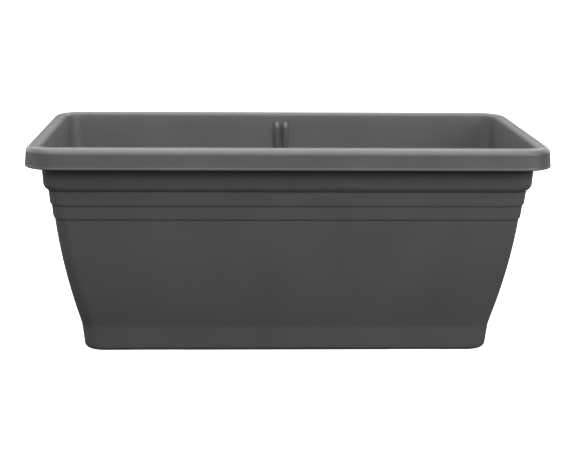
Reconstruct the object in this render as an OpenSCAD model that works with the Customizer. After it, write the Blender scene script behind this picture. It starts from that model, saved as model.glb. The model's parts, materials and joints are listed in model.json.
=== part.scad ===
// Self watering trough planter: a double rimmed plastic trough with a water reserve under a
// perforated floor, a filling tube, a float gauge, an overflow and a drain.
// Millimetres. +Z up, +X along the trough, -Y is the front. Origin: centre of the underside.

/* [Trough] */
// length of the rim, left to right
trough_length = 802; // [782:5:902]
// depth of the rim, front to back
trough_depth = 402; // [392:5:462]
// height from the floor to the top of the rim
trough_height = 340; // [335:1:350]
// thickness of the moulded wall
wall = 3; // [2.5:0.1:3.5]
// thickness of the moulded floor
floor_thickness = 4; // [3:0.5:5]
// how far the rim stands out past the wall under it
rim_overhang = 25; // [23:1:27]
// height of the turned down skirt of the rim
skirt_height = 31; // [28:0.5:33]
// width of the rounded outer edge on top of the rim
rim_round = 12; // [8:1:14]
// height of the rounded outer edge on top of the rim
rim_crown = 9; // [7:1:10]
// inset of the plinth, at the ground, from the outside of the rim
foot_inset = 77; // [75:1:79]
// plan radius of the corners of the body
corner_radius = 28; // [26:1:32]

/* [Shoulder steps] */
// distance of the foot of the big rounded step below the top of the rim
step_drop = 70.8; // [68:0.2:73]
// how far the wall goes in at the big step
step_depth = 5.7; // [4.5:0.1:7]
// distance of the foot of the first small step below the top of the rim
first_line_drop = 94.6; // [92:0.2:97]
// distance of the foot of the second small step below the top of the rim
second_line_drop = 117; // [115:0.2:119]
// how far the wall goes in at each small step
line_depth = 1.7; // [1:0.1:2]

/* [Wall lugs] */
// half width of each lug on the inside of the long walls
lug_radius = 6; // [4:0.5:6.5]
// how far a lug stands out of the wall at its shoulder
lug_reach = 9.5; // [8:0.5:9.5]
// distance from the shoulder of a lug down to where it has sunk into the wall
lug_length = 48; // [40:2:60]
// distance between the two lugs of a pair, centre to centre
lug_spacing = 15; // [15:1:20]
// distance of the lug tops below the top of the rim
lug_drop = 15; // [12:1:20]

/* [Foot pads] */
// half length of the pad in the middle
middle_pad = 165; // [150:5:180]
// distance of the end pads from the middle
end_pad = 250; // [240:5:260]
// height of the relief between the pads
pad_height = 1.2; // [0.5:0.1:1.5]

/* [Water reserve] */
// height of the underside of the perforated floor panels
panel_z = 60; // [58:1:64]
// thickness of the floor panels
panel_thickness = 3; // [2:0.5:4]
// gap between the panels and the wall
panel_gap = 3; // [2.5:0.5:5]
// radius of the drainage holes in the panels
hole_radius = 3; // [2:0.5:4]
// distance between the drainage holes
hole_pitch = 26; // [22:1:32]
// distance of the two wick cups from the middle
cup_x = 195; // [190:5:200]
// radius of the mouth of a wick cup
cup_radius = 41; // [36:1:44]
// height of the middle of the overflow
overflow_z = 36; // [34:1:36]
// height of the middle of the drain
drain_z = 20; // [20:1:22]
// distance of the overflow and of the drain from the middle
outlet_x = 110; // [100:5:120]

/* [Filling tube and gauge] */
// distance of the filling tube and of the gauge from the middle
tube_x = 255; // [250:5:260]
// distance of both from the middle, towards the front
tube_y = 98; // [95:1:99]
// outer radius of the filling tube
tube_radius = 15; // [14:0.5:16]
// height of the top of the funnel
funnel_z = 308; // [300:1:312]
// outer radius of the gauge stem
stem_radius = 8; // [7:0.5:9]
// outer radius of the float chamber
chamber_radius = 17; // [16:0.5:18]
// rise of the float from empty to full
float_rise = 30; // [20:1:30]

/* [Part] */
// which piece to draw

/* [Hidden] */

$fn = 64;
eps = 0.01;
// radial clearance of a running fit
fit = 0.05;

// wall section
half_length = trough_length / 2;
half_depth = trough_depth / 2;
rim_under = trough_height - skirt_height - 0.5;
step_z = trough_height - step_drop;
first_line_z = trough_height - first_line_drop;
second_line_z = trough_height - second_line_drop;
belly_top = second_line_z - 3;
band_draft = 0.055;
lower_draft = 0.035;
belly_slope = 0.1;
belly_curve = 0.000465;
plinth_draft = 0.09;
step_fall = 11.5;
line_fall = 4;
// skirt: inset of its face at the top, inset of its face at the bottom, height of the flare
skirt_face = [2.4, 0.7, 5];
blend = 0.8;
foot_round = 8;
inner_round = 5;
lip_round = 6;
corner_steps = 6;

// colours
anthracite = [0.22, 0.225, 0.23];
dark_plastic = [0.12, 0.12, 0.125];
grey_plastic = [0.35, 0.36, 0.37];
rubber_black = [0.05, 0.05, 0.05];
float_white = [0.9, 0.9, 0.86];
signal_red = [0.8, 0.1, 0.07];
clear_plastic = [0.8, 0.88, 0.9, 0.4];
steel = [0.7, 0.7, 0.72];

// ---- trough ----

// the smaller of two lengths, with a soft change from one to the other
function soft_min(a, b) = (a + b - sqrt((a - b) * (a - b) + blend * blend)) / 2;

// rounded step: an arc that turns under, down to its foot
function rounded_step(z, foot, fall, depth) =
  let (r = (depth * depth + fall * fall) / (2 * depth),
       t = min(max(foot + fall - z, 0), fall))
  r - sqrt(r * r - t * t);

// inset of the outside of the wall from the outside of the rim, in the banded part
function band_inset(z) =
  rim_overhang + band_draft * (rim_under - z) + lower_draft * max(0, step_z - z)
  + rounded_step(z, step_z, step_fall, step_depth)
  + rounded_step(z, first_line_z, line_fall, line_depth)
  + rounded_step(z, second_line_z, line_fall, line_depth);

// the same in the bellied part
function belly_inset(z) =
  let (t = belly_top - z) band_inset(belly_top) + belly_slope * t + belly_curve * t * t;

// the same on the plinth
function plinth_inset(z) = foot_inset - plinth_draft * z;

function body_inset(z) = z > belly_top ? band_inset(z) : soft_min(belly_inset(z), plinth_inset(z));

// heights at which the wall is sectioned, bottom to top
plinth_heights = [20, 32, 38, 42, 46];
belly_heights = [for (i = [0:9]) 52 + i * (belly_top - 56) / 9];
band_heights = concat(
  [for (u = [0, 0.3, 0.6, 1]) second_line_z + u * line_fall],
  [for (u = [0, 0.3, 0.6, 1]) first_line_z + u * line_fall],
  [for (u = [0, 0.15, 0.35, 0.6, 0.8, 1]) step_z + u * step_fall],
  [step_z + 25, rim_under]
);
wall_heights = concat(plinth_heights, belly_heights, band_heights);

// one point of the section: inset, height, plan radius of the corner
function section_arc(inset, z, r, from, to, n) = section_oval(inset, z, r, r, from, to, n);
function section_oval(inset, z, rx, rz, from, to, n) =
  [for (i = [0:n]) let (a = from + (to - from) * i / n) [inset + rx * cos(a), z + rz * sin(a)]];

// plan radius of the outside: concentric around the rim, nearly constant on the body
function plan_radius(inset) =
  inset < rim_overhang ? corner_radius + rim_overhang - 3.5 - inset
                       : corner_radius - 3.5 * max(0, foot_inset - inset) / (foot_inset - rim_overhang);

function outer_point(p) = [p[0], p[1], plan_radius(p[0])];
function inner_point(p) = [p[0], p[1], max(plan_radius(p[0] - wall) - wall, 5)];

crown_inset = rim_round + skirt_face[0];
crown_z = trough_height - rim_crown;

section = concat(
  [for (p = section_arc(body_inset(foot_round) + foot_round, foot_round, foot_round, 270, 180, 3))
    outer_point(p)],
  [for (z = wall_heights) outer_point([body_inset(z), z])],
  [outer_point([body_inset(trough_height - wall), trough_height - wall])],
  [for (p = section_oval(crown_inset, crown_z, rim_round - wall, rim_crown - wall, 90, 180, 4))
    outer_point(p)],
  [for (p = section_arc(wall / 2, rim_under + wall / 2, wall / 2, 0, -180, 4)) outer_point(p)],
  [outer_point([skirt_face[1], rim_under + skirt_face[2]])],
  [for (p = section_oval(crown_inset, crown_z, rim_round, rim_crown, 180, 90, 6)) outer_point(p)],
  [for (p = section_arc(body_inset(trough_height) + wall - lip_round, trough_height - lip_round,
    lip_round, 90, 0, 5)) inner_point(p)],
  [for (i = [len(wall_heights) - 1:-1:0]) let (z = wall_heights[i])
    inner_point([body_inset(z) + wall, z])],
  [for (p = section_arc(body_inset(9) + wall + inner_round, floor_thickness + inner_round,
    inner_round, 180, 270, 3)) inner_point(p)]
);

// one ring of the trough: a rectangle with round corners
function corner_ring(p) = [
  for (c = [0:3]) for (s = [0:corner_steps])
    let (a = 90 * c + 90 * s / corner_steps,
         sx = (c == 0 || c == 3) ? 1 : -1,
         sy = c < 2 ? 1 : -1)
    [sx * (half_length - p[0] - p[2]) + p[2] * cos(a),
     sy * (half_depth - p[0] - p[2]) + p[2] * sin(a),
     p[1]]
];

// skin over a list of closed rings that have the same number of points
module skin(rings) {
  n = len(rings[0]);
  m = len(rings);
  polyhedron(
    points = [for (r = rings) for (p = r) p],
    faces = concat(
      [[for (j = [0:n - 1]) j]],
      [for (i = [0:m - 2]) for (j = [0:n - 1])
        [i * n + j, (i + 1) * n + j, (i + 1) * n + (j + 1) % n, i * n + (j + 1) % n]],
      [[for (j = [n - 1:-1:0]) (m - 1) * n + j]]
    )
  );
}

// lug with a round nose on the inside of the wall: it has a rounded shoulder,
// and sinks into the wall below it
lug_shoulder = 10;
lug_shoulder_z = trough_height - lug_drop - lug_shoulder;
lug_root = 0.5;
lug_heights = concat(
  [for (i = [0:9]) lug_shoulder_z - lug_length * (1 - i / 10)],
  [for (u = [0, 0.5, 0.8, 0.95, 1]) lug_shoulder_z + 0.9 * lug_shoulder * u]
);
// shares of the full width and of the full reach at height z
function lug_width(z) =
  let (u = max(0, (z - lug_shoulder_z) / lug_shoulder)) sqrt(max(0.02, 1 - u * u));
function lug_depth(z) =
  z > lug_shoulder_z ? lug_width(z) : 1 - pow((lug_shoulder_z - z) / lug_length, 1.6);
module wall_lug(x) {
  skin([for (z = lug_heights)
    let (y = half_depth - body_inset(z) - wall + lug_root,
         r = lug_radius * lug_width(z),
         depth = lug_reach * lug_depth(z) + lug_root)
    concat(
      [[x + r, y + 1, z], [x - r, y + 1, z]],
      [for (a = [180:22.5:360]) [x + r * cos(a), y + depth * sin(a), z]]
    )]);
}

module outlet_boss(x, z, r, inside, outside) {
  translate([x, inside, z]) rotate([-90, 0, 0]) cylinder(r = r, h = outside - inside);
}

// flat seats for the two outlets, where the washers and nuts clamp
outlet_radius = 8;
overflow_seat = half_depth - body_inset(overflow_z + 14) + 1;
overflow_inside = half_depth - body_inset(overflow_z - 13) - wall - 1;
drain_seat = half_depth - body_inset(drain_z + 13) + 1;
drain_inside = half_depth - body_inset(drain_z - 8) - wall - 1;
overflow_boss_radius = 14;
drain_boss_radius = 12.5;

module trough_shell() {
  color(anthracite)
  difference() {
    union() {
      skin([for (p = section) corner_ring(p)]);
      for (side = [0, 1], x = [-1, 1]) mirror([0, side, 0]) wall_lug(x * lug_spacing / 2);
      outlet_boss(outlet_x, overflow_z, overflow_boss_radius, overflow_inside, overflow_seat);
      outlet_boss(-outlet_x, drain_z, drain_boss_radius, drain_inside, drain_seat);
    }
    for (side = [0, 1]) mirror([side, 0, 0])
      translate([middle_pad, -half_depth, -1])
        cube([end_pad - middle_pad, trough_depth, 1 + pad_height]);
    outlet_boss(outlet_x, overflow_z, outlet_radius + fit, overflow_inside - 1, overflow_seat + 1);
    outlet_boss(-outlet_x, drain_z, outlet_radius + fit, drain_inside - 1, drain_seat + 1);
  }
}

// ---- floor between soil and water ----

panel_half_length = half_length - body_inset(panel_z) - wall - panel_gap;
panel_half_depth = half_depth - body_inset(panel_z) - wall - panel_gap;
panel_top = panel_z + panel_thickness;
panel_corner = 22;
panel_skirt = 6;
panel_skirt_wall = 2;
joint_gap = 0.5;
// notches for the fingers at the joint of the two panels
finger_notch = [16, 9];
cup_hole = cup_radius + 0.5;
filler_hole = tube_radius + 2 + fit;
gauge_hole = chamber_radius + 0.3;
hole_rows = 4;
hole_columns = 12;
hole_margin = 12;
pillar_spots = [[45, 95], [45, -95], [150, 95], [150, -95], [299, 75], [299, -60]];
clip_spots = [-75, 0, 75];
clip_size = [22, 14, 2];
clip_web = [6, 10];
spigot_radius = 5;

module panel_outline(inset) {
  r = panel_corner - inset;
  x = panel_half_length - inset;
  y = panel_half_depth - inset;
  union() {
    translate([joint_gap, -y]) square([x - r - joint_gap, 2 * y]);
    translate([joint_gap, -y + r]) square([x - joint_gap, 2 * (y - r)]);
    for (s = [-1, 1]) translate([x - r, s * (y - r)]) circle(r);
  }
}

function near(p, q, r) = (p[0] - q[0]) * (p[0] - q[0]) + (p[1] - q[1]) * (p[1] - q[1]) < r * r;

// a drainage hole is left out where something else goes through or stands
function free_spot(p) =
  !near(p, [cup_x, 0], cup_radius + 12) && !near(p, [tube_x, -tube_y], 30)
  && len([for (q = pillar_spots) if (near(p, q, 17)) 1]) == 0
  && len([for (y = clip_spots) if (near(p, [0, y], 22)) 1]) == 0;

module panel(tube_hole) {
  difference() {
    union() {
      translate([0, 0, panel_z]) linear_extrude(panel_thickness) panel_outline(0);
      translate([0, 0, panel_z - panel_skirt]) linear_extrude(panel_skirt + eps)
        difference() {
          panel_outline(0.5);
          panel_outline(0.5 + panel_skirt_wall);
          translate([0, -panel_half_depth]) square([finger_notch[0] + 4, 2 * panel_half_depth]);
        }
    }
    for (s = [-1, 1]) translate([-1, s * panel_half_depth - finger_notch[1], panel_z - 1])
      cube([finger_notch[0] + 1, 2 * finger_notch[1], panel_thickness + 2]);
    translate([cup_x, 0, panel_z - 1]) cylinder(r = cup_hole, h = panel_thickness + 2);
    translate([tube_x, -tube_y, panel_z - panel_skirt - 1])
      cylinder(r = tube_hole, h = panel_skirt + panel_thickness + 2);
    for (q = pillar_spots) translate([q[0], q[1], panel_z - 1])
      cylinder(r = spigot_radius, h = panel_thickness + 2, $fn = 32);
    for (y = clip_spots) translate([-1, y - clip_web[1] / 2 - 0.2, panel_z - 1])
      cube([clip_web[0] / 2 + 1.2, clip_web[1] + 0.4, panel_thickness + 2]);
    for (i = [0:hole_columns - 1], j = [-hole_rows:hole_rows])
      let (p = [hole_pitch * (i + 0.6), hole_pitch * j])
      if (free_spot(p) && p[0] < panel_half_length - hole_margin
        && abs(p[1]) < panel_half_depth - hole_margin)
        translate([p[0], p[1], panel_z - 1])
          cylinder(r = hole_radius, h = panel_thickness + 2, $fn = 24);
  }
}

module panel_right() color(dark_plastic) panel(gauge_hole);
module panel_left() color(dark_plastic) mirror([1, 0, 0]) panel(filler_hole);

module joiner_clips() {
  color(grey_plastic)
  for (y = clip_spots) {
    translate([-clip_size[0] / 2, y - clip_size[1] / 2, panel_top])
      cube(clip_size);
    translate([-clip_size[0] / 2, y - clip_size[1] / 2, panel_z - clip_size[2]])
      cube(clip_size);
    translate([-clip_web[0] / 2, y - clip_web[1] / 2, panel_z - eps])
      cube([clip_web[0], clip_web[1], panel_thickness + 2 * eps]);
  }
}

pillar_foot = 13;
pillar_head = 9;
pillar_wall = 2;

module pillars() {
  for (q = pillar_spots) translate([q[0], q[1], 0])
    rotate_extrude($fn = 48) polygon([
      [pillar_foot - pillar_wall, floor_thickness],
      [pillar_foot, floor_thickness],
      [pillar_head, panel_z],
      [spigot_radius - fit, panel_z],
      [spigot_radius - fit, panel_top - 0.4],
      [spigot_radius - fit - 0.6, panel_top],
      [0, panel_top],
      [0, panel_z - pillar_wall],
      [pillar_head - pillar_wall, panel_z - pillar_wall]
    ]);
}
module pillars_right() color(dark_plastic) pillars();
module pillars_left() color(dark_plastic) mirror([1, 0, 0]) pillars();

cup_floor_z = floor_thickness + 2;
cup_floor_radius = 29;
cup_wall = 2;
cup_flange = [cup_radius + 5, 2.5];
cup_slots = 8;
cup_slot = [20, 3, 34];
cup_drain_radius = 2.5;

module wick_cup(x) {
  color(dark_plastic)
  translate([x, 0, 0])
  difference() {
    rotate_extrude() polygon([
      [0, cup_floor_z],
      [cup_floor_radius, cup_floor_z],
      [cup_radius, panel_z],
      [cup_radius, panel_top],
      [cup_flange[0], panel_top],
      [cup_flange[0], panel_top + cup_flange[1]],
      [cup_radius - cup_wall, panel_top + cup_flange[1]],
      [cup_radius - cup_wall, panel_z],
      [cup_floor_radius - cup_wall, cup_floor_z + cup_wall],
      [0, cup_floor_z + cup_wall]
    ]);
    for (i = [0:cup_slots - 1]) rotate([0, 0, (i + 0.5) * 360 / cup_slots])
      translate([cup_floor_radius - 8, -cup_slot[1] / 2, cup_floor_z + 8]) cube(cup_slot);
    for (i = [0:cup_slots - 1]) rotate([0, 0, i * 360 / cup_slots])
      translate([cup_floor_radius * 0.6, 0, cup_floor_z - 1])
        cylinder(r = cup_drain_radius, h = cup_wall + 2, $fn = 24);
  }
}
module wick_cup_left() wick_cup(-cup_x);
module wick_cup_right() wick_cup(cup_x);

// ---- filling tube ----

tube_wall = 2;
tube_foot = 16;
funnel_socket = 14;
funnel_flare = 14;
funnel_lip = [28, 4];
funnel_mouth = 25;
funnel_throat = 3;
tube_top = funnel_z - funnel_flare;
tube_bore = tube_radius - tube_wall;
collar_flange = [tube_radius + 8, 2.5];
collar_height = 12;
hinge_y = -tube_y - funnel_lip[0] - 4.5;
hinge_z = funnel_z + 1.7;
pin_radius = 1.5;
knuckle_radius = 3.5;
knuckle_half = 6.5;
ear_inner = 7;
ear_outer = 10.5;
ear_depth = 13;
cap_radius = 26.5;
cap_base = funnel_z + 0.2;
cap_thickness = 2.4;
cap_plug = [22.5, 1.5, 2.5];
cap_arm = 12;
cap_tab = [12, 8];

module at_filler() translate([-tube_x, -tube_y, 0]) children();
module at_gauge() translate([tube_x, -tube_y, 0]) children();

module filler_collar() {
  color(grey_plastic) at_filler()
  rotate_extrude() polygon([
    [tube_radius + fit, panel_z - 4],
    [tube_radius + 2, panel_z - 4],
    [tube_radius + 2, panel_top],
    [collar_flange[0], panel_top],
    [collar_flange[0], panel_top + collar_flange[1]],
    [tube_radius + 3, panel_top + collar_flange[1]],
    [tube_radius + 3, panel_top + collar_height],
    [tube_radius + fit, panel_top + collar_height]
  ]);
}

module filler_tube() {
  color(grey_plastic) at_filler()
  rotate_extrude() polygon([
    [tube_bore, tube_foot],
    [tube_radius, tube_foot],
    [tube_radius, panel_top + collar_height],
    [tube_radius + 3, panel_top + collar_height],
    [tube_radius + 3, panel_top + collar_height + 3],
    [tube_radius, panel_top + collar_height + 3],
    [tube_radius, tube_top],
    [tube_bore, tube_top]
  ]);
}

strainer_base = floor_thickness + 2;
strainer_slots = 6;
strainer_slot = [tube_radius, 2.4, 6];

module filler_strainer() {
  color(dark_plastic) at_filler()
  difference() {
    rotate_extrude() polygon([
      [0, strainer_base],
      [tube_radius, strainer_base],
      [tube_radius, tube_foot],
      [tube_bore - fit, tube_foot],
      [tube_bore - fit, tube_foot + 8],
      [tube_bore - 1.6, tube_foot + 8],
      [tube_bore - 1.6, strainer_base + 1.6],
      [0, strainer_base + 1.6]
    ]);
    for (i = [0:strainer_slots - 1]) rotate([0, 0, i * 360 / strainer_slots])
      translate([5, -strainer_slot[1] / 2, strainer_base + 2.5]) cube(strainer_slot);
  }
}

module hinge_ear(side) {
  x = side > 0 ? ear_inner : -ear_outer;
  translate([x, hinge_y + tube_y, hinge_z]) rotate([0, 90, 0])
    cylinder(r = knuckle_radius, h = ear_outer - ear_inner, $fn = 48);
  translate([x, hinge_y + tube_y - knuckle_radius, funnel_z - funnel_lip[1]])
    cube([ear_outer - ear_inner, ear_depth, funnel_lip[1]]);
  translate([x, hinge_y + tube_y - knuckle_radius, funnel_z - eps])
    cube([ear_outer - ear_inner, 2 * knuckle_radius, hinge_z - funnel_z + eps]);
}

module filler_funnel() {
  color(grey_plastic) at_filler()
  difference() {
    union() {
      rotate_extrude() polygon([
        [tube_radius + fit, tube_top - funnel_socket],
        [tube_radius + 2.2, tube_top - funnel_socket],
        [tube_radius + 2.2, tube_top],
        [funnel_mouth + 1.5, funnel_z - funnel_lip[1]],
        [funnel_lip[0], funnel_z - funnel_lip[1]],
        [funnel_lip[0], funnel_z],
        [funnel_mouth, funnel_z],
        [funnel_mouth - 1, funnel_z - funnel_lip[1]],
        [tube_bore, tube_top + 2],
        [tube_bore, tube_top],
        [tube_radius + fit, tube_top]
      ]);
      for (s = [-1, 1]) hinge_ear(s);
    }
    translate([-ear_outer - 1, hinge_y + tube_y, hinge_z]) rotate([0, 90, 0])
      cylinder(r = pin_radius, h = 2 * ear_outer + 2, $fn = 32);
    translate([0, 0, tube_top + funnel_throat])
      cylinder(r1 = tube_bore, r2 = funnel_mouth - 1, h = funnel_flare - funnel_throat - funnel_lip[1]);
  }
}

module filler_pin() {
  color(steel) at_filler()
  translate([-ear_outer, hinge_y + tube_y, hinge_z]) rotate([0, 90, 0])
    cylinder(r = pin_radius, h = 2 * ear_outer, $fn = 32);
}

module filler_cap() {
  color(dark_plastic) at_filler()
  difference() {
    union() {
      translate([0, 0, cap_base]) cylinder(r = cap_radius, h = cap_thickness);
      translate([0, 0, cap_base - cap_plug[2]])
        difference() {
          cylinder(r = cap_plug[0], h = cap_plug[2] + eps);
          translate([0, 0, -1]) cylinder(r = cap_plug[0] - cap_plug[1], h = cap_plug[2] + 2);
        }
      translate([-knuckle_half, hinge_y + tube_y, hinge_z]) rotate([0, 90, 0])
        cylinder(r = knuckle_radius, h = 2 * knuckle_half, $fn = 48);
      translate([-knuckle_half, hinge_y + tube_y, cap_base])
        cube([2 * knuckle_half, cap_arm, cap_thickness]);
      translate([-cap_tab[0] / 2, cap_radius - 3, cap_base]) cube([cap_tab[0], cap_tab[1], cap_thickness]);
    }
    translate([-knuckle_half - 1, hinge_y + tube_y, hinge_z]) rotate([0, 90, 0])
      cylinder(r = pin_radius + fit, h = 2 * knuckle_half + 2, $fn = 32);
  }
}

// ---- level gauge ----

chamber_wall = 2;
chamber_base = floor_thickness + 1.5;
chamber_flange = [chamber_radius + 6, 3];
chamber_slots = 6;
chamber_slot = [8, 3, 40];
hub_top = panel_top + 18;
stem_wall = 2;
stem_top = funnel_z - 26;
rod_radius = 1.5;
float_base = chamber_base + 2.5;
float_height = 15;
float_radius = chamber_radius - chamber_wall - 1.5;
tip_radius = 4;
tip_height = 8;
window_wall = 1.5;
window_top = stem_top + float_rise + 5;

module gauge_chamber() {
  color(grey_plastic) at_gauge()
  difference() {
    rotate_extrude() polygon([
      [0, chamber_base],
      [chamber_radius, chamber_base],
      [chamber_radius, panel_top],
      [chamber_flange[0], panel_top],
      [chamber_flange[0], panel_top + chamber_flange[1]],
      [stem_radius + 2.5, panel_top + chamber_flange[1]],
      [stem_radius + 2.5, hub_top],
      [stem_radius + fit, hub_top],
      [stem_radius + fit, panel_top + chamber_flange[1]],
      [rod_radius + 0.5, panel_top + chamber_flange[1]],
      [rod_radius + 0.5, panel_top],
      [chamber_radius - chamber_wall, panel_top],
      [chamber_radius - chamber_wall, chamber_base + 1.5],
      [0, chamber_base + 1.5]
    ]);
    for (i = [0:chamber_slots - 1]) rotate([0, 0, (i + 0.5) * 360 / chamber_slots])
      translate([chamber_radius - 4, -chamber_slot[1] / 2, chamber_base + 3]) cube(chamber_slot);
  }
}

module gauge_stem() {
  color(grey_plastic) at_gauge()
  translate([0, 0, panel_top + chamber_flange[1]])
  difference() {
    cylinder(r = stem_radius, h = stem_top - panel_top - chamber_flange[1]);
    translate([0, 0, -1])
      cylinder(r = stem_radius - stem_wall, h = stem_top - panel_top - chamber_flange[1] + 2);
  }
}

module gauge_window() {
  color(clear_plastic) at_gauge()
  rotate_extrude() polygon(concat(
    [[stem_radius + fit, stem_top - 14], [stem_radius + fit + window_wall, stem_top - 14]],
    [for (a = [0:15:90]) [(stem_radius + fit + window_wall) * cos(a), window_top - 6 + 6 * sin(a)]],
    [for (a = [90:-15:0]) [(stem_radius + fit) * cos(a), window_top - 6 + 4.5 * sin(a)]]
  ));
}

module gauge_float() {
  color(float_white) at_gauge()
  rotate_extrude() polygon([
    [0, float_base],
    [float_radius - 2, float_base],
    [float_radius, float_base + 2],
    [float_radius, float_base + float_height - 3],
    [float_radius - 3, float_base + float_height],
    [rod_radius, float_base + float_height],
    [rod_radius, float_base + 4],
    [0, float_base + 4]
  ]);
}

module gauge_rod() {
  color(steel) at_gauge()
  translate([0, 0, float_base + 4])
    cylinder(r = rod_radius, h = stem_top - tip_height + 4 - float_base - 4, $fn = 32);
}

module gauge_tip() {
  color(signal_red) at_gauge()
  translate([0, 0, stem_top - tip_height])
  difference() {
    cylinder(r = tip_radius, h = tip_height, $fn = 32);
    translate([0, 0, -eps]) cylinder(r = rod_radius, h = 4 + eps, $fn = 32);
  }
}

// ---- outlets in the rear wall ----

outlet_bore = 6;
bush_flange = [12, 2.5];
seal_thickness = 1.5;
nut_radius = 12;
nut_thickness = 5;
bush_inside = 9;

// every outlet piece is drawn along +Y from its seat on the wall
module at_outlet(x, z, y) translate([x, y, z]) rotate([-90, 0, 0]) children();

module ring(outer, inner, h) {
  difference() {
    cylinder(r = outer, h = h);
    translate([0, 0, -1]) cylinder(r = inner, h = h + 2);
  }
}

module bush(x, z, seat, inside) {
  shank = seat + seal_thickness - inside + bush_inside;
  color(dark_plastic)
  at_outlet(x, z, inside - bush_inside)
  difference() {
    union() {
      cylinder(r = outlet_radius, h = shank + bush_flange[1]);
      translate([0, 0, shank]) cylinder(r = bush_flange[0], h = bush_flange[1]);
    }
    translate([0, 0, -1]) cylinder(r = outlet_bore, h = shank + bush_flange[1] + 2);
  }
}

module seal(x, z, seat)
  color(rubber_black)
  at_outlet(x, z, seat) ring(bush_flange[0] - 0.5, outlet_radius + fit, seal_thickness);

module nut(x, z, inside)
  color(grey_plastic) at_outlet(x, z, inside - nut_thickness)
  difference() {
    cylinder(r = nut_radius, h = nut_thickness, $fn = 6);
    translate([0, 0, -1]) cylinder(r = outlet_radius + fit, h = nut_thickness + 2);
  }

module overflow_bush() bush(outlet_x, overflow_z, overflow_seat, overflow_inside);
module overflow_seal() seal(outlet_x, overflow_z, overflow_seat);
module overflow_nut() nut(outlet_x, overflow_z, overflow_inside);
module drain_bush() bush(-outlet_x, drain_z, drain_seat, drain_inside);
module drain_seal() seal(-outlet_x, drain_z, drain_seat);
module drain_nut() nut(-outlet_x, drain_z, drain_inside);

// perforated disc in the inner end of the overflow, against roots and soil
screen_thickness = 2;
screen_pitch = 3.5;
module screen_hole() translate([0, 0, -1]) cylinder(r = 1.2, h = screen_thickness + 2, $fn = 24);

module overflow_screen() {
  color(grey_plastic) at_outlet(outlet_x, overflow_z, overflow_inside - bush_inside)
  difference() {
    cylinder(r = outlet_bore - fit, h = screen_thickness);
    for (i = [0:5]) rotate([0, 0, 60 * i]) translate([screen_pitch, 0, 0]) screen_hole();
    screen_hole();
  }
}

plug_head = [9.5, 2.5];
plug_tab = [3, 12, 8];
plug_start = 2;

module drain_plug() {
  plug_y = drain_inside - bush_inside + plug_start;
  head_y = drain_seat + seal_thickness + bush_flange[1] + fit;
  color(rubber_black) {
    at_outlet(-outlet_x, drain_z, plug_y)
      cylinder(r = outlet_bore - fit, h = head_y - plug_y + eps);
    at_outlet(-outlet_x, drain_z, head_y) cylinder(r = plug_head[0], h = plug_head[1]);
    translate([-outlet_x - plug_tab[0] / 2, head_y + plug_head[1] - eps, drain_z - plug_tab[1] / 2])
      cube([plug_tab[0], plug_tab[2], plug_tab[1]]);
  }
}

trough_shell();
panel_left();
panel_right();
joiner_clips();
pillars_left();
pillars_right();
wick_cup_left();
wick_cup_right();
filler_collar();
filler_tube();
filler_strainer();
filler_funnel();
filler_cap();
filler_pin();
gauge_chamber();
gauge_stem();
gauge_window();
gauge_float();
gauge_rod();
gauge_tip();
overflow_bush();
overflow_seal();
overflow_nut();
overflow_screen();
drain_bush();
drain_seal();
drain_nut();
drain_plug();
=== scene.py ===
import json
import math

import bpy
from mathutils import Matrix, Vector


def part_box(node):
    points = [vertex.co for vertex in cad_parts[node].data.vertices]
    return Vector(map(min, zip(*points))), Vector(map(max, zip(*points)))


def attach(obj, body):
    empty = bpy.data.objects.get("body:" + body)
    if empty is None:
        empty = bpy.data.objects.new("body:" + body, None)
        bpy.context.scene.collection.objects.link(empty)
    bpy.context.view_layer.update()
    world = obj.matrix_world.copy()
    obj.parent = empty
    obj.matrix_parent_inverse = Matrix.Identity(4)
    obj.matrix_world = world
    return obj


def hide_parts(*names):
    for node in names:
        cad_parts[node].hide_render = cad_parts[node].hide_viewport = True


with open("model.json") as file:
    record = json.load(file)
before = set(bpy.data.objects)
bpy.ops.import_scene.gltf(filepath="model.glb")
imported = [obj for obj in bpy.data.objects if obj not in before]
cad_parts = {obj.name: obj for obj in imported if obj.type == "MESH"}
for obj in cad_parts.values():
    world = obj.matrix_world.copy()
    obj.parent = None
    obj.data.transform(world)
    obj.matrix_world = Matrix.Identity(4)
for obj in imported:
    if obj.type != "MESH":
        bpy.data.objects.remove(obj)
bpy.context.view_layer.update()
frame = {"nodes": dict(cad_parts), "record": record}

# Self watering planter: a finer mesh of the trough, the materials of every node, the studio and the camera.

MM = 0.001

# ---------------------------------------------------------------- sizes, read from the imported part, in mm

shell_low, shell_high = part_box("trough_shell")
HALF_LENGTH = (shell_high[0] - shell_low[0]) / 2 / MM
HALF_DEPTH = (shell_high[1] - shell_low[1]) / 2 / MM
HEIGHT = (shell_high[2] - shell_low[2]) / MM

# ---------------------------------------------------------------- sizes that repeat those of the part, in mm

WALL = 3.0
FLOOR, FLOOR_ROUND = 4.0, 5.0
RIM_OVERHANG = 25.0
RIM_UNDER = HEIGHT - 31.5
# width and height of the rounded outer edge on top of the rim
RIM_ROUND, RIM_CROWN = 12.0, 9.0
# fillet in the hollow of the rim, and rounding of its inner edge on top
HOLLOW_ROUND, LIP_ROUND = 2.0, 6.0
# face of the rim: inset at its top, and inset above the flare along its lower edge
FACE_TOP, FACE_FOOT = 2.4, 0.7
# heights above the lower edge between which the flare runs
FLARE_FROM, FLARE_TO = 2.0, 5.0
FOOT_INSET, FOOT_ROUND = 77.0, 8.0
# plan radius of the body's corners at the foot, and how much smaller it is under the rim
CORNER, CORNER_TAPER = 28.0, 3.5
# foot, fall and depth of the rounded steps in the shoulder, from the top down
STEPS = ((HEIGHT - 70.8, 11.5, 5.7), (HEIGHT - 94.6, 4.0, 1.7), (HEIGHT - 117.0, 4.0, 1.7))
# the belly starts a little below the lowest step
BELLY_TOP = STEPS[2][0] - 3.0
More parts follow.
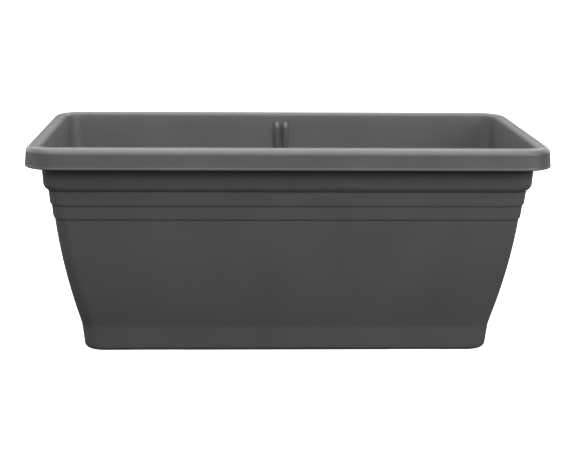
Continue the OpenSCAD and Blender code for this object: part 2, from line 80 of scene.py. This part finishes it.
# how far the wall goes in for each mm down: in the whole band, more below the big step, and on the plinth
BAND_DRAFT, LOWER_DRAFT, PLINTH_DRAFT = 0.055, 0.035, 0.09
BELLY_SLOPE, BELLY_CURVE = 0.1, 0.000465
# softness of the turn from the belly to the plinth
PLINTH_BLEND = 0.8
# lugs on the inside of the long walls: half width, reach into the trough, length below the shoulder
LUG_RADIUS, LUG_REACH, LUG_LENGTH = 6.0, 9.5, 48.0
# height of the rounded shoulder, its top below the rim, and distance of a lug from the middle
LUG_SHOULDER, LUG_DROP, LUG_X = 10.0, 15.0, 7.5
# power of the curve in which a lug sinks into the wall
LUG_FALL = 1.6
# how deep the root and the back of a lug stand in the wall
LUG_ROOT, LUG_BACK = 0.5, 1.5
# half length of the middle foot pad, distance of the end pads from the middle, height of the relief between
MIDDLE_PAD, END_PAD, PAD_HEIGHT = 165.0, 250.0, 1.2
# radius of the flat seat round each outlet, and of the hole through it
BOSS_RADIUS = {"overflow": 14.0, "drain": 12.5}
OUTLET_HOLE = 8.05
# how far the cutting tools stand out: past the ends of an outlet's hole, and below the ground
HOLE_PAST, GROUND_PAST = 3.0, 5.0


# ---------------------------------------------------------------- section of the trough

def ramp(u):
    u = min(max(u, 0.0), 1.0)
    return u * u * (3 - 2 * u)


def rounded_step(z, foot, fall, depth):
    """An arc that turns under, down to its foot."""
    radius = (depth ** 2 + fall ** 2) / (2 * depth)
    fallen = min(max(foot + fall - z, 0), fall)
    return radius - math.sqrt(radius ** 2 - fallen ** 2)


def band_inset(z):
    steps = sum(rounded_step(z, *step) for step in STEPS)
    return RIM_OVERHANG + BAND_DRAFT * (RIM_UNDER - z) + LOWER_DRAFT * max(0, STEPS[0][0] - z) + steps


def body_inset(z):
    """How far the outside of the wall stands in from the outside of the rim, at height z."""
    if z > BELLY_TOP:
        return band_inset(z)
    t = BELLY_TOP - z
    belly = band_inset(BELLY_TOP) + BELLY_SLOPE * t + BELLY_CURVE * t * t
    plinth = FOOT_INSET - PLINTH_DRAFT * z
    return (belly + plinth - math.hypot(belly - plinth, PLINTH_BLEND)) / 2


def plan_radius(inset):
    """Plan radius of the outside: concentric round the rim, nearly constant on the body."""
    if inset < RIM_OVERHANG:
        return CORNER + RIM_OVERHANG - CORNER_TAPER - inset
    return CORNER - CORNER_TAPER * max(0, FOOT_INSET - inset) / (FOOT_INSET - RIM_OVERHANG)


def oval(inset, z, rx, rz, start, end, n):
    angles = [math.radians(start + (end - start) * i / n) for i in range(n + 1)]
    return [(inset + rx * math.cos(a), z + rz * math.sin(a)) for a in angles]


def arc(inset, z, r, start, end, n):
    return oval(inset, z, r, r, start, end, n)


SECTION_FROM, SECTION_PITCH = 11, 4
BELLY_TURN = range(39, 52)
STEP_SECTIONS = 14


def wall_heights():
    """Heights at which the wall is sectioned, close together where the belly turns and on each step."""
    count = int((RIM_UNDER - SECTION_FROM - 3) / SECTION_PITCH)
    out = [SECTION_FROM + SECTION_PITCH * i for i in range(count)] + list(BELLY_TURN)
    for foot, fall, _ in STEPS:
        out = [z for z in out if not foot - 1.5 < z < foot + fall + 1]
        out += [foot - 0.8, foot - 0.2]
        out += [foot + fall * i / STEP_SECTIONS for i in range(STEP_SECTIONS + 1)]
    return sorted(set(out))


def section():
    """Points (inset, height, plan radius) from the foot, over the rim, down to the floor inside."""
    heights = wall_heights()
    crown_inset, crown_z = RIM_ROUND + FACE_TOP, HEIGHT - RIM_CROWN
    hollow_z, floor_z = HEIGHT - WALL, FLOOR + FLOOR_ROUND
    outer = arc(body_inset(FOOT_ROUND) + FOOT_ROUND, FOOT_ROUND, FOOT_ROUND, 270, 180, 8)
    outer += [(body_inset(z), z) for z in heights]
    outer += [(body_inset(z), z) for z in (RIM_UNDER, RIM_UNDER + 8, RIM_UNDER + 16, hollow_z - 3)]
    outer += arc(body_inset(hollow_z) - HOLLOW_ROUND, hollow_z - HOLLOW_ROUND, HOLLOW_ROUND, 0, 90, 4)
    outer += oval(crown_inset, crown_z, RIM_ROUND - WALL, RIM_CROWN - WALL, 90, 180, 10)
    outer += arc(WALL / 2, RIM_UNDER + WALL / 2, WALL / 2, 0, -180, 8)
    outer += [(FACE_FOOT * ramp(i / 5), RIM_UNDER + FLARE_FROM + (FLARE_TO - FLARE_FROM) * i / 5)
              for i in range(1, 6)]
    outer += oval(crown_inset, crown_z, RIM_ROUND, RIM_CROWN, 180, 90, 16)
    inner = arc(body_inset(HEIGHT) + WALL - LIP_ROUND, HEIGHT - LIP_ROUND, LIP_ROUND, 90, 0, 8)
    inner += [(body_inset(z) + WALL, z) for z in (RIM_UNDER + 22, RIM_UNDER + 11)]
    inner += [(body_inset(z) + WALL, z) for z in reversed(heights)]
    inner += arc(body_inset(floor_z) + WALL + FLOOR_ROUND, floor_z, FLOOR_ROUND, 180, 270, 8)
    points = [(o, z, plan_radius(o)) for o, z in outer]
    points += [(o, z, max(plan_radius(o - WALL) - WALL, 5)) for o, z in inner]
    return points


# stretches along a corner of a ring, and along a long and a short side
CORNER_STEPS = 18
SIDE_STEPS = (16, 8)


def plan_ring(inset, z, r):
    """A rectangle with round corners, anticlockwise from above, with extra points along its sides."""
    x, y = HALF_LENGTH - inset - r, HALF_DEPTH - inset - r
    ring = []
    for c, (sx, sy) in enumerate(((1, 1), (-1, 1), (-1, -1), (1, -1))):
        for s in range(CORNER_STEPS + 1):
            a = math.radians(90 * (c + s / CORNER_STEPS))
            ring.append((sx * x + r * math.cos(a), sy * y + r * math.sin(a), z))
        n = SIDE_STEPS[c % 2]
        start = ring[-1]
        end = ((-sx * x, start[1]) if c % 2 == 0 else (start[0], -sy * y))
        for i in range(1, n):
            t = i / n
            ring.append((start[0] + (end[0] - start[0]) * t, start[1] + (end[1] - start[1]) * t, z))
    return ring


# ---------------------------------------------------------------- mesh helpers

def link(name, verts, faces, scale=MM):
    mesh = bpy.data.meshes.new(name)
    mesh.from_pydata([tuple(c * scale for c in v) for v in verts], [], faces)
    mesh.update()
    obj = bpy.data.objects.new(name, mesh)
    bpy.context.collection.objects.link(obj)
    return obj


def skin(name, rings):
    """A closed solid over a list of closed rings, each with the same number of points."""
    n, m = len(rings[0]), len(rings)
    verts = [p for ring in rings for p in ring]
    faces = [tuple(range(n - 1, -1, -1)), tuple((m - 1) * n + j for j in range(n))]
    for i in range(m - 1):
        for j in range(n):
            k = (j + 1) % n
            faces.append((i * n + j, i * n + k, (i + 1) * n + k, (i + 1) * n + j))
    return link(name, verts, faces)


def box(name, low, high):
    (x0, y0, z0), (x1, y1, z1) = low, high
    verts = [(x, y, z) for z in (z0, z1) for x, y in ((x0, y0), (x1, y0), (x1, y1), (x0, y1))]
    faces = [(3, 2, 1, 0), (4, 5, 6, 7)] + [(i, (i + 1) % 4, (i + 1) % 4 + 4, i + 4) for i in range(4)]
    return link(name, verts, faces)


def rod_y(name, x, z, profile, n=64):
    """A solid turned about an axis along Y. profile is a list of (y, radius)."""
    turn = [2 * math.pi * i / n for i in range(n)]
    return skin(name, [[(x + r * math.sin(a), y, z + r * math.cos(a)) for a in turn] for y, r in profile])


def cut_or_join(obj, tools, operation):
    """Applies one exact boolean for each tool, then removes the tools."""
    for tool in tools:
        step = obj.modifiers.new(tool.name, "BOOLEAN")
        step.object = tool
        step.operation = operation
        step.solver = "EXACT"
    graph = bpy.context.evaluated_depsgraph_get()
    done = bpy.data.meshes.new_from_object(obj.evaluated_get(graph))
    obj.modifiers.clear()
    obj.data = done
    for tool in tools:
        bpy.data.objects.remove(tool)


def smooth(obj, degrees=32):
    for polygon in obj.data.polygons:
        polygon.use_smooth = True
    obj.data.set_sharp_from_angle(angle=math.radians(degrees))


# ---------------------------------------------------------------- trough

def lug_size(z, shoulder_z):
    """Shares of a lug's full width and reach: a quarter round on top, then a slow fall into the wall."""
    if z > shoulder_z:
        share = math.sqrt(1 - ((z - shoulder_z) / LUG_SHOULDER) ** 2)
        return share, share
    return 1.0, 1 - ((shoulder_z - z) / LUG_LENGTH) ** LUG_FALL


def wall_lug(name, x, side):
    """Lug with a rounded nose on a long wall: it stands out at its shoulder and sinks in below it."""
    shoulder_z = HEIGHT - LUG_DROP - LUG_SHOULDER
    nose = [math.radians(a) for a in range(180, 361, 10)]
    heights = [shoulder_z - LUG_LENGTH * (1 - i / 28) for i in range(28)]
    heights += [shoulder_z + LUG_SHOULDER * u for u in (0, .2, .4, .55, .7, .8, .88, .94, .98, .998)]
    rings = []
    for z in heights:
        width, reach = lug_size(z, shoulder_z)
        r, depth = LUG_RADIUS * width, LUG_REACH * reach + LUG_ROOT
        face = HALF_DEPTH - body_inset(z) - WALL
        y, back = face + LUG_ROOT, face + LUG_BACK
        ring = [(x + r, back, z), (x - r, back, z)]
        ring += [(x + r * math.cos(a), y + depth * math.sin(a), z) for a in nose]
        rings.append([(px, side * py, pz) for px, py, pz in (ring if side > 0 else reversed(ring))])
    return skin(name, rings)


def outlet_seat(node):
    """Centre x, centre z and wall face of an outlet, from its sealing ring in the part."""
    low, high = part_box(node)
    return (low[0] + high[0]) / 2 / MM, (low[2] + high[2]) / 2 / MM, low[1] / MM


def inner_face(node):
    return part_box(node)[1][1] / MM


def build_trough():
    trough = skin("trough", [plan_ring(*p) for p in section()])
    lugs = [wall_lug(f"lug_{side}_{x}", x * LUG_X, side) for side in (-1, 1) for x in (-1, 1)]
    bosses, holes = [], []
    for kind, r in BOSS_RADIUS.items():
        x, z, seat = outlet_seat(f"{kind}_seal")
        inside = inner_face(f"{kind}_nut")
        rounded_edge = [(seat - 0.8, r), (seat - 0.25, r - 0.25), (seat, r - 0.8)]
        ends = [(inside - HOLE_PAST, OUTLET_HOLE), (seat + HOLE_PAST, OUTLET_HOLE)]
        bosses.append(rod_y(f"{kind}_boss", x, z, [(inside, r)] + rounded_edge))
        holes.append(rod_y(f"{kind}_hole", x, z, ends))
    cut_or_join(trough, lugs + bosses, "UNION")
    relief = []
    for side in (-1, 1):
        x0, x1 = sorted((side * MIDDLE_PAD, side * END_PAD))
        relief.append(box(f"relief_{side}", (x0, -HALF_DEPTH, -GROUND_PAST), (x1, HALF_DEPTH, PAD_HEIGHT)))
    cut_or_join(trough, holes + relief, "DIFFERENCE")
    smooth(trough)
    return trough


# ---------------------------------------------------------------- materials

def new_material(name):
    material = bpy.data.materials.new(name)
    material.use_nodes = True
    nodes = material.node_tree.nodes
    shader = nodes["Principled BSDF"]
    return material, nodes, material.node_tree.links, shader


def noise(nodes, links, scale, detail=2.0, stretch=(1, 1, 1)):
    place = nodes.new("ShaderNodeTexCoord")
    mapping = nodes.new("ShaderNodeMapping")
    mapping.inputs["Scale"].default_value = stretch
    texture = nodes.new("ShaderNodeTexNoise")
    texture.inputs["Scale"].default_value = scale
    texture.inputs["Detail"].default_value = detail
    links.new(place.outputs["Object"], mapping.inputs["Vector"])
    links.new(mapping.outputs["Vector"], texture.inputs["Vector"])
    return texture.outputs["Fac"]


def graded(nodes, links, value, low, high, out_low, out_high):
    node = nodes.new("ShaderNodeMapRange")
    for key, number in (("From Min", low), ("From Max", high), ("To Min", out_low), ("To Max", out_high)):
        node.inputs[key].default_value = number
    links.new(value, node.inputs["Value"])
    return node.outputs["Result"]


# where most values of a noise lie
NOISE_LOW, NOISE_HIGH = 0.3, 0.7


def moulded_plastic(name, colour, roughness=0.42, variation=0.08, grain=1400.0, relief=0.00006, clouds=9.0):
    """Moulded plastic: cloudy colour, fine eroded grain and faint rubbed patches in the gloss."""
    material, nodes, links, shader = new_material(name)
    mix = nodes.new("ShaderNodeMix")
    mix.data_type = "RGBA"
    mix.inputs["A"].default_value = [c * (1 - variation) for c in colour] + [1]
    mix.inputs["B"].default_value = [c * (1 + variation) for c in colour] + [1]
    cloudy = noise(nodes, links, clouds, detail=5)
    links.new(graded(nodes, links, cloudy, NOISE_LOW, NOISE_HIGH, 0, 1), mix.inputs["Factor"])
    links.new(mix.outputs["Result"], shader.inputs["Base Color"])
    gloss = noise(nodes, links, scale=34.0, detail=6, stretch=(1, 1, 0.35))
    rubbed, dull = roughness - 0.05, roughness + 0.06
    links.new(graded(nodes, links, gloss, NOISE_LOW, NOISE_HIGH, rubbed, dull), shader.inputs["Roughness"])
    bump = nodes.new("ShaderNodeBump")
    bump.inputs["Distance"].default_value = relief
    bump.inputs["Strength"].default_value = 0.8
    links.new(noise(nodes, links, grain, detail=3), bump.inputs["Height"])
    links.new(bump.outputs["Normal"], shader.inputs["Normal"])
    return material


def clear_plastic(name):
    material, nodes, links, shader = new_material(name)
    shader.inputs["Base Color"].default_value = (0.9, 0.95, 0.96, 1)
    shader.inputs["Transmission Weight"].default_value = 0.92
    shader.inputs["IOR"].default_value = 1.49
    scuffs = noise(nodes, links, scale=60.0, detail=5, stretch=(1, 1, 0.3))
    links.new(graded(nodes, links, scuffs, 0.35, 0.7, 0.03, 0.14), shader.inputs["Roughness"])
    return material


def drawn_steel(name):
    material, nodes, links, shader = new_material(name)
    shader.inputs["Metallic"].default_value = 1.0
    shader.inputs["Base Color"].default_value = (0.56, 0.56, 0.57, 1)
    lines = noise(nodes, links, scale=500.0, detail=3, stretch=(0.02, 1, 1))
    links.new(graded(nodes, links, lines, NOISE_LOW, NOISE_HIGH, 0.22, 0.36), shader.inputs["Roughness"])
    return material


MATERIALS = {
    "trough_plastic": moulded_plastic("anthracite plastic", (0.0865, 0.0865, 0.0868), roughness=0.4),
    "reserve_plastic": moulded_plastic("black plastic", (0.02, 0.02, 0.021), roughness=0.45, grain=1800),
    "fitting_plastic": moulded_plastic("grey plastic", (0.13, 0.134, 0.138), roughness=0.38, grain=1800),
    "black_rubber": moulded_plastic(
        "black rubber", (0.014, 0.014, 0.014), roughness=0.62, variation=0.15, grain=900),
    "float_white": moulded_plastic(
        "foamed plastic", (0.72, 0.72, 0.68), roughness=0.6, variation=0.04, grain=700, relief=0.0002),
    "indicator_red": moulded_plastic(
        "red plastic", (0.55, 0.02, 0.012), roughness=0.25, grain=1500, relief=0.00003),
    "clear_plastic": clear_plastic("clear plastic"),
    "steel": drawn_steel("drawn steel"),
}


# faces this close are joined before the edges of a node are rounded, in mm
WELD_GAP = 0.01
# edges that turn by more than this are rounded, in degrees
SHARP_EDGE = 40
SOFT_EDGES = {  # width of the rounding on the edges of a node, in mm
    "joiner_clips": 0.5, "filler_collar": 0.5, "filler_tube": 0.4, "filler_funnel": 0.6, "filler_cap": 0.6,
    "gauge_chamber": 0.5, "gauge_tip": 0.6, "overflow_bush": 0.5, "overflow_nut": 0.6,
    "drain_bush": 0.5, "drain_nut": 0.6, "drain_plug": 0.8,
}


def dress_nodes():
    """Every CAD node that stays takes the material of its slot, and moulded edges are rounded a little."""
    for entry in frame["record"]["subparts"]:
        node = frame["nodes"][entry["node"]]
        node.data.materials.clear()
        node.data.materials.append(MATERIALS[entry["material_slot"]])
        if entry["node"] in SOFT_EDGES:
            node.modifiers.new("joined faces", "WELD").merge_threshold = WELD_GAP * MM
            bevel = node.modifiers.new("soft edges", "BEVEL")
            bevel.width = SOFT_EDGES[entry["node"]] * MM
            bevel.segments = 2
            bevel.limit_method = "ANGLE"
            bevel.angle_limit = math.radians(SHARP_EDGE)
            bevel.harden_normals = True


# ---------------------------------------------------------------- studio, in metres

FLOOR_HALF = 60.0
# strength of the world to every ray but the camera's
WORLD_TRACE = 0.05
SOFTBOXES = (  # name, place, target, size, power
    ("top", (0, -0.2, 2.3), (0, -0.1, 0.2), (3.0, 2.0), 66),
    ("rear", (0, 1.8, 2.0), (0, 0, 0.3), (3.5, 1.6), 54),
    ("front", (0, -2.4, 2.4), (0, 0, 0.2), (4.0, 1.6), 40),
    ("fill", (0, -3.6, 1.9), (0, 0, 0.2), (5.0, 1.4), 38),
    ("left", (-2.8, -0.2, 1.3), (0, 0, 0.2), (3.0, 2.2), 32),
    ("front_right", (2.4, -2.0, 1.6), (0.2, 0, 0.2), (2.0, 1.6), 54),
    ("rear_left", (-2.2, 1.8, 1.0), (0, 0, 0.25), (2.0, 1.6), 22),
    ("rear_right", (2.2, 1.8, 1.0), (0, 0, 0.25), (2.0, 1.6), 24),
)
CAMERA_PLACE = (-0.0841, -2.0157, 0.6634)
# turns in radians: down, to the right, and about the line of sight
CAMERA_PITCH, CAMERA_YAW, CAMERA_ROLL = 0.23948, 0.02977, 0.0076


def add_area(name, place, target, size, power):
    light = bpy.data.lights.new(name, "AREA")
    light.shape = "RECTANGLE"
    light.size, light.size_y = size
    light.energy = power
    obj = bpy.data.objects.new(name, light)
    obj.location = place
    obj.rotation_euler = (Vector(target) - Vector(place)).to_track_quat("-Z", "Y").to_euler()
    bpy.context.collection.objects.link(obj)


def floor_material():
    """Pale floor: white to the camera, and little light thrown back up."""
    material, nodes, links, shader = new_material("floor")
    shader.inputs["Base Color"].default_value = (0.045, 0.045, 0.045, 1)
    shader.inputs["Roughness"].default_value = 0.9
    pale = nodes.new("ShaderNodeBsdfDiffuse")
    pale.inputs["Color"].default_value = (0.8, 0.8, 0.8, 1)
    glow = nodes.new("ShaderNodeEmission")
    glow.inputs["Strength"].default_value = 1.0
    seen = nodes.new("ShaderNodeAddShader")
    path = nodes.new("ShaderNodeLightPath")
    mix = nodes.new("ShaderNodeMixShader")
    links.new(pale.outputs["BSDF"], seen.inputs[0])
    links.new(glow.outputs["Emission"], seen.inputs[1])
    links.new(path.outputs["Is Camera Ray"], mix.inputs["Fac"])
    links.new(shader.outputs["BSDF"], mix.inputs[1])
    links.new(seen.outputs["Shader"], mix.inputs[2])
    links.new(mix.outputs["Shader"], nodes["Material Output"].inputs["Surface"])
    return material


def build_world():
    """White behind everything, and a trace of light from all sides."""
    world = bpy.data.worlds.new("studio")
    world.use_nodes = True
    nodes, links = world.node_tree.nodes, world.node_tree.links
    background = nodes["Background"]
    background.inputs["Color"].default_value = (1, 1, 1, 1)
    path = nodes.new("ShaderNodeLightPath")
    strength = graded(nodes, links, path.outputs["Is Camera Ray"], 0, 1, WORLD_TRACE, 1)
    links.new(strength, background.inputs["Strength"])
    bpy.context.scene.world = world


def build_studio():
    corners = [(x * FLOOR_HALF, y * FLOOR_HALF, 0) for x, y in ((-1, -1), (1, -1), (1, 1), (-1, 1))]
    floor = link("floor", corners, [(0, 1, 2, 3)], scale=1)
    floor.data.materials.append(floor_material())
    build_world()
    for softbox in SOFTBOXES:
        add_area(*softbox)
    bpy.context.scene.view_settings.view_transform = "Standard"


def build_camera():
    """The camera of the picture: it looks down 14 degrees from left of the middle, with a long lens."""
    pitch, yaw = CAMERA_PITCH, CAMERA_YAW
    forward = Vector((math.sin(yaw) * math.cos(pitch), math.cos(yaw) * math.cos(pitch), -math.sin(pitch)))
    right = Vector((math.cos(yaw), -math.sin(yaw), 0))
    up = right.cross(forward)
    turn = Matrix((right, up, -forward)).transposed() @ Matrix.Rotation(CAMERA_ROLL, 3, "Z")
    camera = bpy.data.cameras.new("camera")
    camera.sensor_width = 36
    camera.lens = 78.11
    camera.shift_x = 0.0292
    camera.clip_end = 200
    obj = bpy.data.objects.new("camera", camera)
    obj.matrix_world = Matrix.Translation(CAMERA_PLACE) @ turn.to_4x4()
    bpy.context.collection.objects.link(obj)
    bpy.context.scene.camera = obj


# ---------------------------------------------------------------- scene

build_camera()
build_studio()
dress_nodes()
trough = build_trough()
trough.data.materials.clear()
trough.data.materials.append(MATERIALS["trough_plastic"])
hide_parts("trough_shell")
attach(trough, "trough")
